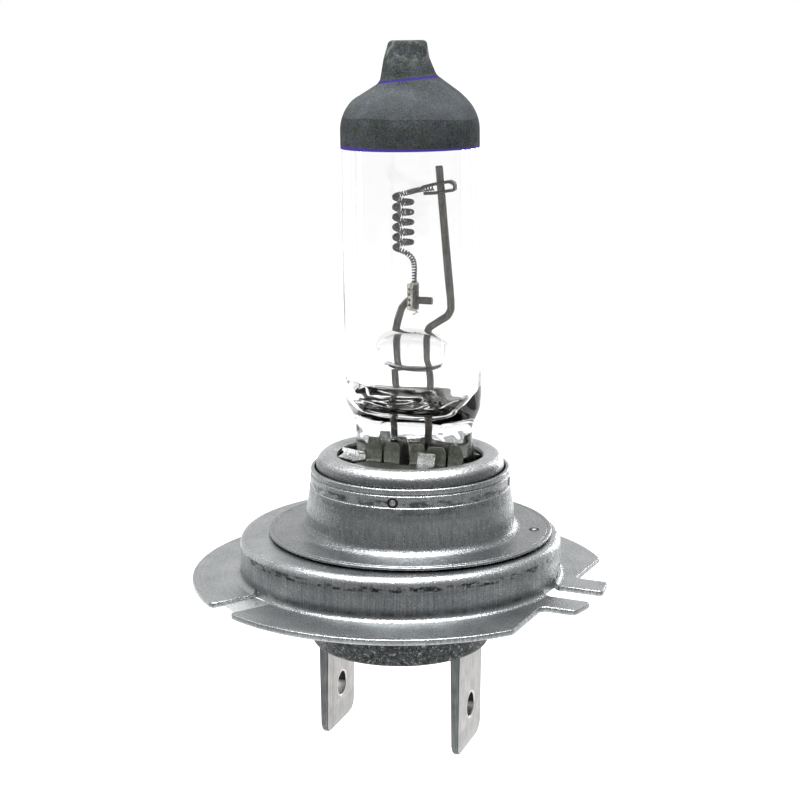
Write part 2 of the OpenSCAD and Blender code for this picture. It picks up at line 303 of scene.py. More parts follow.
def build(name, part, look, slot, *nodes, sharp=SHARP_ANGLE, weighted=True):
    """Makes a piece that stands for the CAD nodes, rides on the only body and has one look."""
    mesh = mesh_of(name, part)
    mesh.validate()
    mesh.shade_smooth()
    mesh.set_sharp_from_angle(angle=radians(sharp))
    mesh.materials.append(look)
    piece = added(name, mesh)
    if weighted:
        shading = piece.modifiers.new("flat_faces_first", "WEIGHTED_NORMAL")
        shading.keep_sharp = True
    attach(piece, "root")
    if nodes:
        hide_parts(*nodes)
    return piece


def cut(piece, tools):
    """Subtracts closed meshes from a piece, before its shading."""
    for i, tool in enumerate(tools):
        mesh = mesh_of(f"cutter_{i}", tool)
        cutter = added(f"cutter_{i}", mesh)
        change = piece.modifiers.new("cut", "BOOLEAN")
        change.operation = "DIFFERENCE"
        change.solver = "EXACT"
        change.object = cutter
        bpy.context.view_layer.objects.active = piece
        while piece.modifiers[0] != change:
            bpy.ops.object.modifier_move_up(modifier=change.name)
        bpy.ops.object.modifier_apply(modifier=change.name)
        bpy.data.objects.remove(cutter)
        bpy.data.meshes.remove(mesh)
    piece.data.set_sharp_from_angle(angle=radians(SHARP_ANGLE))


# ---- looks ----

class Look:
    """A node material being wired up."""

    def __init__(self, name, **constants):
        """The constants go on the shader's own sockets."""
        self.material = bpy.data.materials.new(name)
        self.material.use_nodes = True
        self.tree = self.material.node_tree
        self.shader = self.tree.nodes["Principled BSDF"]
        coordinates = self.add("ShaderNodeTexCoord", {})
        self.place = coordinates.outputs["Object"]
        self.normal = coordinates.outputs["Normal"]
        for key, value in constants.items():
            self.shader.inputs[key.replace("_", " ")].default_value = value

    def feed(self, socket, value):
        """Links a source to a socket, or sets a number, a colour or a vector there."""
        if isinstance(value, (int, float)):
            socket.default_value = value
        elif isinstance(value, tuple):
            socket.default_value = (*value, 1) if socket.type == "RGBA" else value
        else:
            self.tree.links.new(value, socket)

    def add(self, kind, inputs, **settings):
        """A new node with its inputs fed, each by name or by place."""
        node = self.tree.nodes.new(kind)
        for key, value in settings.items():
            setattr(node, key, value)
        for key, value in inputs.items():
            self.feed(node.inputs[key], value)
        return node

    def noise(self, scale, low=0.0, high=1.0, detail=3.0, roughness=0.55, contrast=(0.3, 0.7)):
        """Noise stretched from its usual range to low..high. The scale, per millimetre, is one number or one
        per axis."""
        scales = scale if isinstance(scale, tuple) else (scale, scale, scale)
        place = self.add("ShaderNodeMapping", {"Vector": self.place, "Scale": tuple(n / MM for n in scales)})
        node = self.add("ShaderNodeTexNoise", {"Vector": place.outputs["Vector"], "Scale": 1,
                                               "Detail": detail, "Roughness": roughness})
        return self.ranged(node.outputs["Fac"], *contrast, low, high)

    def rings(self, centre, scale):
        """Fine concentric lines about an upright axis."""
        flat = self.add("ShaderNodeMapping", {"Vector": self.place, "Scale": (1 / MM, 1 / MM, 0),
                                              "Location": (-centre[0], -centre[1], 0)})
        radius = self.add("ShaderNodeVectorMath", {0: flat.outputs["Vector"]}, operation="LENGTH")
        node = self.add("ShaderNodeTexNoise", {"Scale": scale, "Detail": 2}, noise_dimensions="1D")
        self.feed(node.inputs["W"], radius.outputs["Value"])
        return self.ranged(node.outputs["Fac"], 0.3, 0.7, 0, 1)

    def ranged(self, source, from_low, from_high, low, high):
        node = self.add("ShaderNodeMapRange", {"Value": source, "From Min": from_low, "From Max": from_high,
                                               "To Min": low, "To Max": high}, clamp=True)
        return node.outputs["Result"]

    def math(self, operation, a, b=0.0):
        return self.add("ShaderNodeMath", {0: a, 1: b}, operation=operation).outputs[0]

    def mix(self, amount, a, b):
        return self.add("ShaderNodeMix", {0: amount, 6: a, 7: b}, data_type="RGBA").outputs[2]

    def blend(self, *parts):
        """The sum of some sources, each times its weight."""
        total = None
        for source, weight in parts:
            share = self.math("MULTIPLY", source, weight)
            total = self.math("ADD", total, share) if total else share
        return total

    def band(self, source, start, low, high, end, strength=1.0):
        """The strength from low to high, fading to nothing at start and end, all in millimetres."""
        rise = self.ranged(source, start * MM, low * MM, 0, strength)
        return self.math("MULTIPLY", rise, self.ranged(source, high * MM, end * MM, 1, 0))

    def axis(self, name, source=None):
        """One axis of the place, or of another vector."""
        return self.add("ShaderNodeSeparateXYZ", {0: source or self.place}).outputs[name]

    def bump(self, height, distance, strength=1.0):
        node = self.add("ShaderNodeBump", {"Height": height, "Distance": distance * MM, "Strength": strength})
        self.feed(self.shader.inputs["Normal"], node.outputs["Normal"])

    def colour(self, source):
        self.feed(self.shader.inputs["Base Color"], source)

    def rough(self, source):
        self.feed(self.shader.inputs["Roughness"], source)


# Tone of scuffs, and of the painted shade bands, on sheet metal.
SCUFF_AND_PAINTED_SHADE_TONE = (0.02, 0.022, 0.024)


def sheet_metal(name, dark, light, centre, roughness=(0.22, 0.36), upright=0.04, grain=7.0, fleck=0.8,
                scuffs=(), painted_shades=()):
    """Drawn sheet: marks along the draw, fine flecks, faint turned rings, cloudy patches, with scuffs and bands
    of painted shade. A scuff or a painted shade band is a low height, a high one and a strength."""
    look = Look(name, Metallic=1.0)
    marks = look.noise((grain, grain, grain * upright), detail=4, contrast=(0.34, 0.66))
    flecks = look.noise(6, detail=4, roughness=0.75, contrast=(0.4, 0.62))
    clouds = look.noise((0.35, 0.35, 0.5))
    rings = look.rings(centre, 5.0)
    tone = look.blend((marks, 0.42), (clouds, 0.28), (rings, 0.12), (flecks, 0.36 * fleck))
    colour = look.mix(tone, dark, light)
    height = look.axis("Z")
    patches = look.noise((0.9, 0.9, 2.2), detail=5, roughness=0.7, contrast=(0.47, 0.57))
    for low, high, strength in scuffs:
        band = look.band(height, low - 0.12, low, high, high + 0.12, strength)
        colour = look.mix(look.math("MULTIPLY", band, patches), colour, SCUFF_AND_PAINTED_SHADE_TONE)
    # Bands of painted shade, darkening the metal by height.
    for low, high, strength in painted_shades:
        colour = look.mix(look.band(height, low - 0.35, low, high, high + 0.35, strength), colour, SCUFF_AND_PAINTED_SHADE_TONE)
    look.colour(colour)
    look.rough(look.ranged(look.math("ADD", marks, flecks), 0.3, 1.7, roughness[1], roughness[0]))
    look.bump(look.blend((marks, 0.6), (flecks, 0.5)), 0.014)
    return look.material


def quartz(name, bending, cloudy, clear, rim):
    """Glass between two tints, with painted shade where it is seen edge on. The rim is where that painted shade
    starts and ends, on a scale from square on to edge on, and its strength."""
    look = Look(name, Roughness=0.0, IOR=bending, Transmission_Weight=1.0)
    body = look.mix(look.noise(0.3), (cloudy, cloudy, cloudy), (clear, clear, clear))
    edge_on = look.add("ShaderNodeLayerWeight", {}).outputs["Facing"]
    low, high, strength = rim
    # Painted shade: the colour darkens towards grey where the glass is seen edge on.
    look.colour(look.mix(look.ranged(edge_on, low, high, 0, strength), body, (0.1, 0.11, 0.12)))
    look.bump(look.noise((0.5, 0.5, 0.12), detail=1), 0.02, 0.4)
    return look.material


def paint(name, edge_z, seam_z, neck_z, neck_tilt):
    """Matte heat-proof coat in two passes, violet where it thins out at its edge and round the nib's foot, with
    a painted highlight on the shoulder above the seam.
    """
    look = Look(name, Specular_IOR_Level=0.05)
    clouds = look.noise(0.5, detail=4)
    grain = look.noise(7, detail=4, roughness=0.7, contrast=(0.4, 0.6))
    grey = look.mix(look.blend((clouds, 0.5), (grain, 0.5)), (0.003, 0.004, 0.005), (0.072, 0.078, 0.086))
    tinted = look.mix(look.noise(1.3, 0.0, 0.55), grey, (0.022, 0.031, 0.017))
    violets = look.noise(2.1, 0.0, 0.5, contrast=(0.5, 0.7))
    tinted = look.mix(violets, tinted, (0.034, 0.028, 0.05))
    height = look.axis("Z")
    wavy = look.math("ADD", height, look.noise((0.25, 0.25, 0), -0.12 * MM, 0.12 * MM))
    # A lighter band on the shoulder above the seam: painted highlight.
    shoulder_painted_highlight = look.band(wavy, seam_z, seam_z + 0.05, seam_z + 1.2, seam_z + 3.4)
    body = look.mix(shoulder_painted_highlight, tinted, look.mix(0.2, tinted, (0.11, 0.115, 0.13)))
    line = look.band(wavy, seam_z - 0.05, seam_z, seam_z + 0.05, seam_z + 0.1, 0.7)
    body = look.mix(look.math("MULTIPLY", line, 0.5), body, (0.012, 0.012, 0.014))
    edge = look.ranged(height, (edge_z + 0.16) * MM, (edge_z + 0.26) * MM, 1.0, 0.0)
    neck = look.math("ADD", height, look.math("MULTIPLY", look.axis("X"), -neck_tilt))
    foot = look.band(neck, neck_z - 0.06, neck_z, neck_z + 0.1, neck_z + 0.2)
    body = look.mix(foot, body, (0.022, 0.014, 0.11))
    # Lighter patches of wear towards the nib's top.
    wear_and_painted_shade = look.math("MULTIPLY", look.noise(1.5, 0, 0.7, contrast=(0.5, 0.66)),
                     look.ranged(height, (neck_z + 0.8) * MM, (neck_z + 2.0) * MM, 0, 1))
    body = look.mix(wear_and_painted_shade, body, (0.13, 0.15, 0.135))
    look.colour(look.mix(edge, body, (0.045, 0.025, 0.22)))
    look.rough(look.ranged(grain, 0, 1, 0.85, 0.7))
    look.bump(grain, 0.03)
    return look.material


def drawn_wire(name, dark, light, roughness=(0.32, 0.5), scale=6.0, upright=0.1):
    """Wire or strip with fine lines along it."""
    look = Look(name, Metallic=1.0)
    lines = look.noise((scale, scale, scale * upright), detail=4, contrast=(0.34, 0.66))
    tone = look.blend((lines, 0.6), (look.noise(5), 0.4))
    look.colour(look.mix(tone, dark, light))
    look.rough(look.ranged(tone, 0, 1, roughness[1], roughness[0]))
    look.bump(lines, 0.01)
    return look.material


def moulding(name):
    """Mineral filled moulding: dark with pale specks of filler."""
    look = Look(name, Specular_IOR_Level=0.35)
    pits = look.noise(3.2, detail=5, roughness=0.8, contrast=(0.42, 0.56))
    body = look.mix(pits, (0.006, 0.007, 0.008), (0.055, 0.062, 0.064))
    specks = look.noise(3.6, detail=6, roughness=0.85, contrast=(0.55, 0.63))
    look.colour(look.mix(specks, body, (0.5, 0.52, 0.52)))
    look.rough(look.ranged(specks, 0, 1, 0.5, 0.75))
    look.bump(look.noise(4, detail=5, roughness=0.75), 0.1)
    return look.material


def tin(name, hole_y):
    """Tin plated blade with scratches along it: bare and dark on sheared edges, with painted shade along its
    rounded edges, duller on the tip's bevel and lighter round the hole, whose wall has painted light below and
    painted shade above."""
    look = Look(name, Metallic=1.0)
    scratches = look.noise((9, 9, 0.5), detail=4, contrast=(0.4, 0.62))
    grooves = look.noise((0, 3.4, 0.05), contrast=(0.56, 0.64))
    specks = look.noise(11, detail=2, contrast=(0.25, 0.4))
    tone = look.blend((scratches, 0.35), (look.noise((0.9, 0.9, 0.7)), 0.45), (specks, 0.2))
    plated = look.mix(tone, (0.17, 0.165, 0.16), (0.36, 0.35, 0.338))
    plated = look.mix(look.math("MULTIPLY", grooves, 0.45), plated, (0.13, 0.128, 0.125))
    height = look.axis("Z")
    bevel_top = BLADE_TIP + TIP_BEVEL
    on_bevel = look.ranged(height, bevel_top * MM, (bevel_top - 0.08) * MM, 0.0, 0.4)
    plated = look.mix(on_bevel, plated, (0.16, 0.165, 0.165))
    bare = look.mix(tone, (0.055, 0.062, 0.062), (0.17, 0.18, 0.178))
    facing = look.math("ABSOLUTE", look.axis("X", look.normal))
    metal = look.mix(look.ranged(facing, 0.4, 0.6, 0.0, 1.0), bare, plated)
    # Painted shade: near black along the blade's rounded edges.
    corner = look.math("MULTIPLY", look.ranged(facing, 0.15, 0.4, 0, 0.85),
                       look.ranged(facing, 0.8, 0.97, 1, 0))
    wear_and_painted_shade = look.mix(corner, metal, (0.018, 0.02, 0.02))
    across = look.math("SUBTRACT", look.axis("Y"), hole_y * MM)
    up = look.math("SUBTRACT", height, HOLE_Z * MM)
    from_hole = look.math("SQRT", look.blend((across, across), (up, up)))
    at_hole = look.ranged(from_hole, (HOLE_R + 0.14) * MM, (HOLE_R + 0.22) * MM, 1, 0)
    # Painted light on the lower wall of the hole and painted shade on its upper wall.
    hole_painted_light_and_shade = look.mix(look.ranged(up, -0.45 * MM, -0.1 * MM, 1, 0), (0.02, 0.022, 0.022), (0.9, 0.9, 0.88))
    rim = look.ranged(facing, 0.12, 0.5, 0, 1)
    look.colour(look.mix(at_hole, wear_and_painted_shade, look.mix(rim, hole_painted_light_and_shade, (0.5, 0.49, 0.475))))
    look.rough(look.ranged(tone, 0, 1, 0.4, 0.28))
    look.bump(look.math("ADD", scratches, specks), 0.008)
    return look.material


# Each painted_shades band below is painted shade: on the drum's wall under its top edge and above its foot, on
# the sleeve above its flange and below its neck, and on the cup under its lip's highlight.
ring_metal = sheet_metal("ring_metal", (0.12, 0.13, 0.135), (0.5, 0.515, 0.525), (0, 0),
                         scuffs=[(2.34, 2.64, 1.0), (0.5, 0.62, 0.5)],
                         painted_shades=[(2.1, 2.5, 0.25), (0.35, 0.75, 0.5)])
sleeve_metal = sheet_metal("sleeve_metal", (0.13, 0.14, 0.145), (0.42, 0.435, 0.445), UNIT, upright=0.09,
                           scuffs=[(7.5, 7.9, 0.75), (6.9, 7.25, 0.35)],
                           painted_shades=[(3.9, 4.3, 0.45), (6.5, 7.1, 0.2)])
cup_metal = sheet_metal("cup_metal", (0.14, 0.15, 0.155), (0.56, 0.57, 0.58), UNIT, upright=0.4, grain=9,
                        fleck=1.3, painted_shades=[(cup_high.z - 1.5, cup_high.z - 0.68, 0.6)])
spring_steel = sheet_metal("spring_steel", (0.09, 0.097, 0.08), (0.26, 0.27, 0.235), UNIT,
                           roughness=(0.4, 0.55), upright=0.5)
# A much lighter copy of the ring's metal for its spring tabs: painted highlight.
ring_tab_steel_painted_highlight = sheet_metal("ring_tab_steel_painted_highlight", (0.62, 0.63, 0.63), (0.97, 0.97, 0.97), (0, 0), upright=0.5,
                              grain=3)
# A much lighter copy of the clip's spring steel for its curled tabs: painted highlight.
clip_tab_steel_painted_highlight = sheet_metal("clip_tab_steel_painted_highlight", (0.6, 0.61, 0.6), (0.92, 0.93, 0.92), UNIT, upright=0.5)
weld_dark = drawn_wire("weld_dark", (0.012, 0.013, 0.015), (0.045, 0.048, 0.05), (0.5, 0.6))
weld_light = drawn_wire("weld_light", (0.24, 0.25, 0.26), (0.5, 0.52, 0.53))
molybdenum = drawn_wire("molybdenum", (0.035, 0.031, 0.028), (0.13, 0.121, 0.114), (0.3, 0.42))
clamp_metal = drawn_wire("clamp_metal", (0.01, 0.009, 0.009), (0.1, 0.095, 0.09), (0.22, 0.34), 5.0)
# A far lighter copy of the clamp metal for the lower clamp's leaf: painted highlight.
clamp_metal_painted_highlight = drawn_wire("clamp_metal_painted_highlight", (0.1, 0.098, 0.085), (0.72, 0.7, 0.62), (0.2, 0.3), 5.0)
foil_metal = drawn_wire("foil_metal", (0.2, 0.19, 0.18), (0.42, 0.4, 0.38), scale=3.0)
tungsten = drawn_wire("tungsten", (0.02, 0.019, 0.02), (0.17, 0.163, 0.16), scale=9.0, upright=1.0)
clear_quartz = quartz("clear_quartz", 1.46, 0.94, 0.965, (0.65, 1.0, 0.4))
bridge_quartz = quartz("bridge_quartz", 1.24, 0.99, 1.0, (0.4, 0.85, 0.95))
top_paint = paint("top_paint", coat_foot, SECOND_COAT_FOOT, NIB_FOOT, NIB_TILT)
insulator_look = moulding("insulator_moulding")
tin_left = tin("tin_plate_left", BLADE_STAGGER)
tin_right = tin("tin_plate_right", -BLADE_STAGGER)


# ---- base ring ----

KEY_W = 7.8
KEY_SLOT_W = 2.7
NOTCH_W = 2.7
NOTCH_ROOT = 12.85
NOTCH_LIFT = 0.5
NOTCH_ANGLE = 120
CHORD_X = 13.75
FOOT = 0.48
TAB_BEND = 4


def on_circle(radius, start, end):
    """Corners along a circle about the drum's axis, about 1.5 degrees apart."""
    return on_arc((0, 0), radius, start, end, max(2, round(abs(end - start) / 1.5)))


def height_on(radius, across):
    """Distance along one axis at which a circle is a given distance from it."""
    return sqrt(radius ** 2 - across ** 2)


def angle_at(radius, across):
    """Degrees on a circle from a slot's middle line to its side."""
    return degrees(asin(across / radius))


def flange_sectors():
    """The flange's three sectors: two beside the key lug and one between the spring tabs."""
    inner, clear = DRUM_R + 0.2, 2
    half_slot, half_notch, half_key = KEY_SLOT_W / 2, NOTCH_W / 2, KEY_W / 2
    chord_end = degrees(acos(CHORD_X / FLANGE_R))
    before_notch = NOTCH_ANGLE - angle_at(FLANGE_R, half_notch) - clear
    past_notch = NOTCH_ANGLE + angle_at(FLANGE_R, half_notch) + clear
    side = Vector((cos(radians(NOTCH_ANGLE)), sin(radians(NOTCH_ANGLE))))
    normal = Vector((-side.y, side.x))

    def notch_corner(radius, sign):
        return side * height_on(radius, half_notch) + normal * sign * half_notch

    upper = [(height_on(FLANGE_R, half_slot), half_slot, 0.35)]
    upper += on_circle(FLANGE_R, angle_at(FLANGE_R, half_slot) + clear, angle_at(FLANGE_R, half_key) - clear)
    upper += [(height_on(FLANGE_R, half_key), half_key, 0.4), (CHORD_X, half_key, 0.5)]
    upper += [(CHORD_X, height_on(FLANGE_R, CHORD_X), 0.35)]
    upper += on_circle(FLANGE_R, chord_end + clear, before_notch)
    upper += [(*notch_corner(FLANGE_R, -1), 0.4), (*notch_corner(inner, -1), 0)]
    upper += on_circle(inner, NOTCH_ANGLE - angle_at(inner, half_notch) - clear,
                       angle_at(inner, half_slot) + clear)
    upper += [(height_on(inner, half_slot), half_slot, 0)]
    lower = [(p[0], -p[1], p[2]) for p in reversed(upper)]
    far, near = notch_corner(FLANGE_R, 1), notch_corner(inner, 1)
    past_inner = NOTCH_ANGLE + angle_at(inner, half_notch) + clear
    back = [(*near, 0), (*far, 0.4), *on_circle(FLANGE_R, past_notch, 360 - past_notch)]
    back += [(far.x, -far.y, 0.4), (near.x, -near.y, 0), *on_circle(inner, 360 - past_inner, past_inner)]
    return [filleted(sector, steps=5) for sector in (upper, lower, back)]


def spring_tab(turn):
    """A leaf that carries a sector on across a notch, bent slightly down, its outer end cut at a slant."""
    near, far, inner = NOTCH_W / 2 + 0.35, 0.25 - NOTCH_W / 2, DRUM_R - 0.1
    corners = [(inner, near, 0), (inner + 0.1, far, 0.15), (15.75, far, 0.1), (16.6, near, 0)]
    verts, faces = plate(anticlockwise(filleted(corners, steps=3)), -SHEET, 0, 0.08)
    drop = [(v[0], v[1], v[2] - tan(radians(TAB_BEND)) * max(0.0, near - v[1])) for v in verts]
    return moved((drop, faces), turn)


def base_ring():
    """The drum, cut by the key slot and both notches, with the flange's sectors and the two spring tabs."""
    section = filleted([
        (DRUM_OPENING_R, DRUM_TOP, 0.08), (DRUM_R, DRUM_TOP, 0.7), (DRUM_R, 0, FOOT), (DRUM_R + FOOT, 0, 0),
        (DRUM_R + FOOT, -SHEET, 0), (DRUM_R - SHEET, -SHEET, FOOT + SHEET - 0.001),
        (DRUM_R - SHEET, DRUM_TOP - SHEET, 0.25), (DRUM_OPENING_R, DRUM_TOP - SHEET, 0.08)], steps=9)
    drum = build("base_ring", lathe(section, sides=360), ring_metal, "ring_metal", "base_ring")
    cutters = []
    for angle, width in ((0, KEY_SLOT_W), (NOTCH_ANGLE, NOTCH_W), (-NOTCH_ANGLE, NOTCH_W)):
        half, far = width / 2, FLANGE_R + 1
        corners = [(NOTCH_ROOT, -half), (far, -half), (far, half), (NOTCH_ROOT, half)]
        block = plate(corners, -1, NOTCH_LIFT, 0.02, steps=1)
        cutters.append(moved(block, turned(KEY_ANGLE + angle)))
    cut(drum, cutters)
    turn, to_notch = turned(KEY_ANGLE), turned(-NOTCH_ANGLE)
    flange = [moved(plate(outline, -SHEET, 0, 0.1), turn) for outline in flange_sectors()]
    mirror = Matrix.Diagonal((1, -1, 1, 1))
    tabs = [spring_tab(turn @ to_notch), inside_out(spring_tab(turn @ (mirror @ to_notch)))]
    build("base_ring_flange", joined(*flange), ring_metal, "ring_metal")
    # The tabs wear the lighter copy of the ring's metal, a painted highlight.
    build("base_ring_tabs", joined(*tabs), ring_tab_steel_painted_highlight, "ring_metal")


base_ring()


# ---- sleeve, cup and weld marks ----

NECK_R = 8.04
SLEEVE_SHEET = 0.4


def adjusting_sleeve():
    """Drawn sleeve: a flange, a skirt, a narrower neck with a step, and a groove near the top."""
    flange_r, top, inner = SLEEVE_FLANGE_R, sleeve_high.z, CUP_R + 0.13
    wall, thick, low = 8.4, SLEEVE_SHEET, DRUM_TOP
    section = filleted([
        (flange_r - 0.6, low, 0.1), (flange_r, low + 0.2, 0.05), (flange_r, low + thick, 0.1),
        (flange_r - 0.3, low + thick, 0.05), (flange_r - 0.34, low + thick - 0.05, 0.03),
        (flange_r - 0.42, low + thick, 0.05), (wall, low + thick, 0.9), (wall, 5.3, 1.5),
        (8.14, 6.9, 0.8), (8.1, 7.36, 0.04), (NECK_R, 7.42, 0.04), (NECK_R, 8.28, 0.1), (7.9, 8.36, 0.03),
        (8.0, 8.47, 0.08), (8.0, top, 0.14), (inner, top, 0.05), (inner, 7.9, 0.1),
        (CUP_R + 0.04, 7.7, 0.05), (CUP_R + 0.04, 7.2, 0.2), (inner + 0.35, 6.6, 0.5),
        (wall - thick, 5.0, 1.0), (wall - thick, low, 1.2), (wall + 1.6, low, 0)], steps=8)
    build("adjusting_sleeve", lathe(section, UNIT, 320), sleeve_metal, "sleeve_metal", "adjusting_sleeve")


adjusting_sleeve()


def holder_cup():
    """Cup whose lip is rolled inwards and curled under."""
    top, thick, lip_r, lip_h = cup_high.z, 0.35, 1.1, 1.15
    middle = (CUP_R - lip_r, top - lip_h)
    outer = arc(middle, lip_r, 0, 90, 14, squash=lip_h / lip_r)
    curl = [(middle[0] - 0.35, top - 0.06), (middle[0] - 0.58, top - 0.28), (middle[0] - 0.62, top - 0.55)]
    curl += [(middle[0] - 0.4, top - 0.56), (middle[0] - 0.3, top - 0.4)]
    inner = arc(middle, lip_r - thick, 90, 0, 14, squash=(lip_h - thick) / (lip_r - thick))
    section = [(CUP_R, cup_low.z), *outer, *curl, *inner, (CUP_R - thick, cup_low.z)]
    build("holder_cup", lathe(section, UNIT, 320), cup_metal, "cup_metal", "holder_cup")


holder_cup()


def weld_places():
    """Where the marks stand: four round the sleeve's neck and three on its flange."""
    places, neck_z, on_flange_r = [], 7.8, 10.06
    for angle in (-81, 9, 99, 189):
        a = radians(angle)
        out = Vector((cos(a), sin(a), 0))
        places.append((Vector((UNIT.x, UNIT.y, neck_z)) + out * (NECK_R - 0.01), out.to_track_quat("Z", "Y")))
    for angle in (12, 84, 156):
        a = radians(angle)
        spot = (UNIT.x + on_flange_r * cos(a), UNIT.y + on_flange_r * sin(a), DRUM_TOP + SLEEVE_SHEET)
        places.append((Vector(spot), Vector((0, 0, 1)).to_track_quat("Z", "Y")))
    return places


def weld_spots():
    """Each mark is a raised bead in a dark ring."""
    bead = filleted([(0.005, 0.0, 0), (0.005, 0.06, 0), (0.2, 0.04, 0.1), (0.24, -0.02, 0.04),
                     (0.24, -0.1, 0), (0.005, -0.1, 0)], steps=3)
    ring = filleted([(0.23, -0.1, 0), (0.25, 0.02, 0.03), (0.33, 0.055, 0.06), (0.43, 0.01, 0.05),
                     (0.44, -0.1, 0)], steps=4)
    beads, dark = [], []
    for spot, turn in weld_places():
        matrix = Matrix.Translation(spot) @ turn.to_matrix().to_4x4()
        beads.append(moved(lathe(bead, sides=40), matrix))
        dark.append(moved(lathe(ring, sides=40), matrix))
    build("weld_beads", joined(*beads), weld_light, "weld_metal", "weld_spots")
    build("weld_rings", joined(*dark), weld_dark, "weld_metal")


weld_spots()


# ---- clip ----

CLIP_SHEET = 0.3
SLOT_X = 3.9
SLOT_Y = 2.1


def clip_opening():
    """A slot round the pinch that widens into a lobe at each end."""
    lobe_r, lobe_y, step = 6.6, 3.3, 0.3
    lobe = degrees(asin(lobe_y / lobe_r))
    corners = []
    for side, middle in ((1, 0), (-1, 180)):
        x = GLASS_X + side * SLOT_X
        corners += [(x, GLASS_Y - side * SLOT_Y, step), (x + side * step, UNIT.y - side * lobe_y, step)]
        corners += on_arc(UNIT, lobe_r, middle - lobe, middle + lobe, 16)
        corners += [(x + side * step, UNIT.y + side * lobe_y, step), (x, GLASS_Y + side * SLOT_Y, step)]
    return list(reversed(filleted(corners, steps=4)))


def clip_fingers(high):
    """Five flat fingers on each face of the pinch: place along it, width and top."""
    fingers, face = [], 1.3
    for x, width, top in ((-2.85, 1.35, 11.25), (-1.33, 1.3, 10.9), (0.82, 1.3, 10.95), (2.35, 1.65, 10.8),
                          (3.97, 1.25, 11.05)):
        for side in (-1, 1):
            profile = ((SLOT_Y + 0.3, high - 0.15, 0), (face + 0.3, high - 0.05, 0.3),
                       (face + 0.14, high + 0.9, 1.2), (face + 0.2, top, 0))
            route = bent([(0, side * y, z, radius) for y, z, radius in profile])
            route = [(GLASS_X + x, GLASS_Y + p.y, p.z) for p in route]
            fingers.append(strip(route, (1, 0, 0), width, 0.2, 0.22))
    return fingers


def clip_tabs(high):
    """The two curled tabs in front: place, turn, width and rise."""
    tabs = []
    for x, y, turn, width, rise in ((-3.75, -1.2, 24, 2.5, 0.5), (2.75, -2.15, 6, 1.5, 0.9)):
        profile = ((-0.75, 0, 0), (0.3, 0, 0.2), (0.55, rise, 0.22), (-0.15, rise + 0.1, 0))
        curl = bent([(0, *corner) for corner in profile], 6)
        matrix = Matrix.Translation((x, y, high + 0.1)) @ turned(-turn)
        tabs.append(moved(strip(curl, (1, 0, 0), width, 0.2, 0.4), matrix))
    return tabs


def pinch_clip():
    """Plate under the cup's lip, open round the pinch, with its fingers and tabs."""
    high = CLIP_Z + CLIP_SHEET
    base = plate(arc(UNIT, CUP_R - 0.4, 0, 360, 160)[:-1], CLIP_Z, high, 0.06, [clip_opening()])
    build("pinch_clip", joined(base, *clip_fingers(high)), spring_steel, "spring_steel", "pinch_clip")
    build("pinch_clip_tabs", joined(*clip_tabs(high)), clip_tab_steel_painted_highlight, "spring_steel")


pinch_clip()


# ---- glass ----

def glass_matrix():
    """From the tube's own upright axis to its leaning place in the cup."""
    lean = turned(GLASS_LEAN_Y, "Y") @ turned(GLASS_LEAN_X, "X")
    return Matrix.Translation((GLASS_X, GLASS_Y, CLIP_Z)) @ lean @ Matrix.Translation((0, 0, -CLIP_Z))


def smooth_step(low, high, value):
    t = min(1.0, max(0.0, (value - low) / (high - low)))
    return t * t * (3 - 2 * t)


GLASS_SIDES = 128


def section_ring(z, half_x, half_y, power=2.0, wave=0.0):
    """A ring between an ellipse (power 2) and a box with round corners (higher powers)."""
    ring = []
    for a in around(GLASS_SIDES):
        c, s = cos(a), sin(a)
        x = half_x * copysign(abs(c) ** (2 / power), c)
        y = half_y * copysign(abs(s) ** (2 / power), s)
        ring.append((x, y, z + wave * sin(3 * a + 0.7)))
    return ring


def tube_radius(z):
    """The tube widens a little towards its foot."""
    return TUBE_R + 0.1 * smooth_step(34, 15, z) if z < 34 else TUBE_R


def dome_profile(extra=0.0):
    """(radius, height) up the dome and the sealed nib, over the end of the straight tube."""
    axis_r, rise = 1.9, 3.3 + extra
    reach = TUBE_R + extra - axis_r
    dome = arc((axis_r, TUBE_TOP), reach, 0, 56, 14, squash=rise / reach)
    nib = bent([(*dome[-1], 0), (2.14 + extra, 39.52, 0.9), (1.72 + extra, 41.0, 1.5),
                (1.4 + extra, NIB_TOP + extra, 0.36), (0.02, NIB_TOP + extra, 0)], 8)
    return dome + [(p[0], p[1]) for p in nib[1:]]


def nib_skew(point):
    """Sets the nib a little off the tube's axis and tilts its foot."""
    amount = smooth_step(37.8, 39.5, point[2])
    tilt = NIB_TILT * amount * (1 - smooth_step(40.0, 42.0, point[2]))
    bow = 0.12 * sin(pi * smooth_step(39.5, 42.5, point[2]))
    return point[0] - 0.1 * amount - bow, point[1], point[2] + tilt * point[0]


def round_ring(radius, z):
    """A ring of the tube, the dome or the nib."""
    return [nib_skew((radius * cos(a), radius * sin(a), z)) for a in around(GLASS_SIDES)]


def pinch_ring(z, share=1.0):
    """The pinch's section: a flat pressed plate with a round bead along each edge."""
    half, plate_y, bead = 4.85 * share, 1.05 * share, 1.3 * share
    ring = []
    for a in around(GLASS_SIDES):
        c, s = cos(a), sin(a)
        x = half * copysign(abs(c) ** 0.45, c)
        y = plate_y + (bead - plate_y) * smooth_step(half - 2.3, half - 1.5, abs(x))
        into_end = max(0.0, abs(x) - (half - bead))
        y *= sqrt(max(0.0, 1 - (into_end / bead) ** 2))
        ring.append((x, copysign(y, s), z))
    return ring


def blended(a, b, amount):
    return [Vector(p).lerp(Vector(q), amount) for p, q in zip(a, b)]


